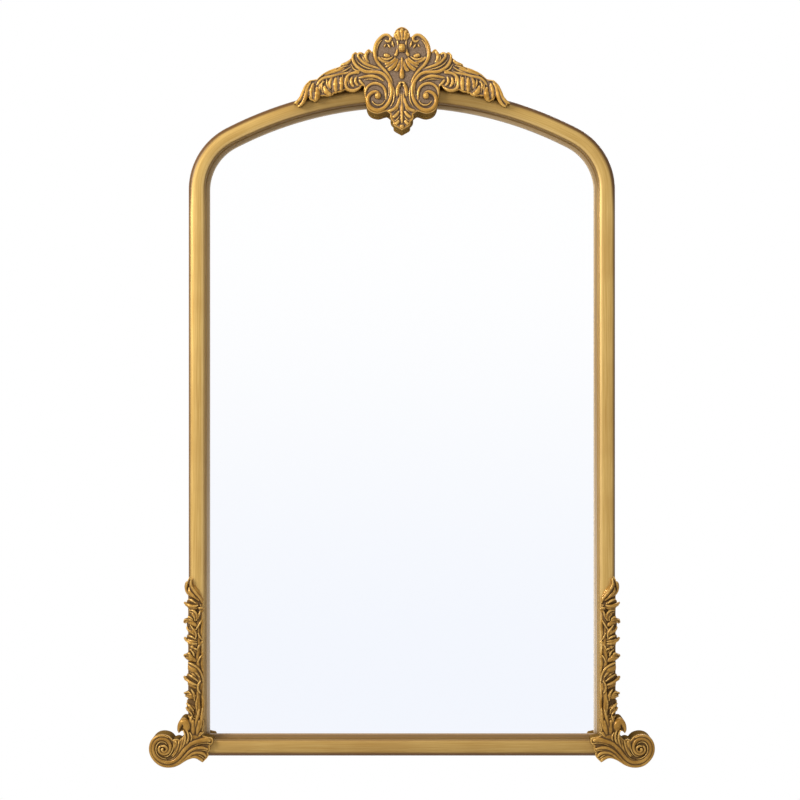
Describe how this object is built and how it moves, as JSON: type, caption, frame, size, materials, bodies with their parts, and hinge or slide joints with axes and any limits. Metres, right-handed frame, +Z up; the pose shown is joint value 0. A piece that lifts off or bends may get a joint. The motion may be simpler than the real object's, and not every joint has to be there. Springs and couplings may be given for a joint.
{
  "type": "arched wall mirror",
  "caption": "Tall gilded wall mirror with a low arched top, a carved crest over the crown, scrolls at the bottom corners and leaf sprays up the sides, hung by rings.",
  "frame": {"origin": "on the wall plane, on the centre line, at the height where the two hanging rings bear on their hooks", "axes": "+X to the right seen from the front, +Y into the wall, +Z up; the front looks along -Y"},
  "size_m": [0.6246, 0.0418, 0.907],
  "materials": {
    "frame_gilt": "gold leaf tone over gesso on wood, umber toned along the edges",
    "casting_gilt": "cast composition, bright gold on the ridges, umber wash in the recesses",
    "mirror_silver": "silvered float glass",
    "cushion": "soft white sheet",
    "board": "brown hardboard, matt",
    "dowel": "plain beech",
    "steel": "zinc plated steel",
    "bumper": "black rubber, matt"
  },
  "bodies": {
    "mirror": {"frame_stile_left": "frame_gilt", "frame_stile_right": "frame_gilt", "frame_arch_left": "frame_gilt", "frame_arch_right": "frame_gilt", "frame_bottom_rail": "frame_gilt", "mirror_glass": "mirror_silver", "cushion_sheet": "cushion", "back_board": "board", "joint_dowels": "dowel", "corner_plate_left": "steel", "corner_plate_right": "steel", "corner_plate_screws": "steel", "casting_screws": "steel", "hanger_screws": "steel", "turn_button_screws": "steel", "hanger_strap_left": "steel", "hanger_strap_right": "steel", "wall_bumpers": "bumper", "crest_casting": "casting_gilt", "corner_scroll_left": "casting_gilt", "corner_scroll_right": "casting_gilt", "leaf_spray_left": "casting_gilt", "leaf_spray_right": "casting_gilt"},
    "ring_left": {"hanger_ring_left": "steel"},
    "ring_right": {"hanger_ring_right": "steel"},
    "button_left_low": {"turn_button_left_low": "steel"},
    "button_left_high": {"turn_button_left_high": "steel"},
    "button_right_low": {"turn_button_right_low": "steel"},
    "button_right_high": {"turn_button_right_high": "steel"},
    "button_bottom_left": {"turn_button_bottom_left": "steel"},
    "button_bottom_right": {"turn_button_bottom_right": "steel"},
    "button_top_left": {"turn_button_top_left": "steel"},
    "button_top_right": {"turn_button_top_right": "steel"}
  },
  "joints": [
    {"name": "ring_left_swing", "type": "hinge", "parent": "mirror", "child": "ring_left", "pos_m": [-0.253, -0.00347, -0.01375], "axis": [-1, 0, 0], "range_deg": [0, 165]},
    {"name": "ring_right_swing", "type": "hinge", "parent": "mirror", "child": "ring_right", "pos_m": [0.253, -0.00347, -0.01375], "axis": [-1, 0, 0], "range_deg": [0, 165]},
    {"name": "button_left_low_turn", "type": "hinge", "parent": "mirror", "child": "button_left_low", "pos_m": [-0.253, -0.0051, -0.44875], "axis": [0, 1, 0], "continuous": true},
    {"name": "button_left_high_turn", "type": "hinge", "parent": "mirror", "child": "button_left_high", "pos_m": [-0.253, -0.0051, -0.18875], "axis": [0, 1, 0], "continuous": true},
    {"name": "button_right_low_turn", "type": "hinge", "parent": "mirror", "child": "button_right_low", "pos_m": [0.253, -0.0051, -0.44875], "axis": [0, 1, 0], "continuous": true},
    {"name": "button_right_high_turn", "type": "hinge", "parent": "mirror", "child": "button_right_high", "pos_m": [0.253, -0.0051, -0.18875], "axis": [0, 1, 0], "continuous": true},
    {"name": "button_bottom_left_turn", "type": "hinge", "parent": "mirror", "child": "button_bottom_left", "pos_m": [-0.105, -0.0051, -0.60925], "axis": [0, 1, 0], "continuous": true},
    {"name": "button_bottom_right_turn", "type": "hinge", "parent": "mirror", "child": "button_bottom_right", "pos_m": [0.105, -0.0051, -0.60925], "axis": [0, 1, 0], "continuous": true},
    {"name": "button_top_left_turn", "type": "hinge", "parent": "mirror", "child": "button_top_left", "pos_m": [-0.1197, -0.0051, 0.18109], "axis": [0, 1, 0], "continuous": true},
    {"name": "button_top_right_turn", "type": "hinge", "parent": "mirror", "child": "button_top_right", "pos_m": [0.1197, -0.0051, 0.18109], "axis": [0, 1, 0], "continuous": true}
  ]
}
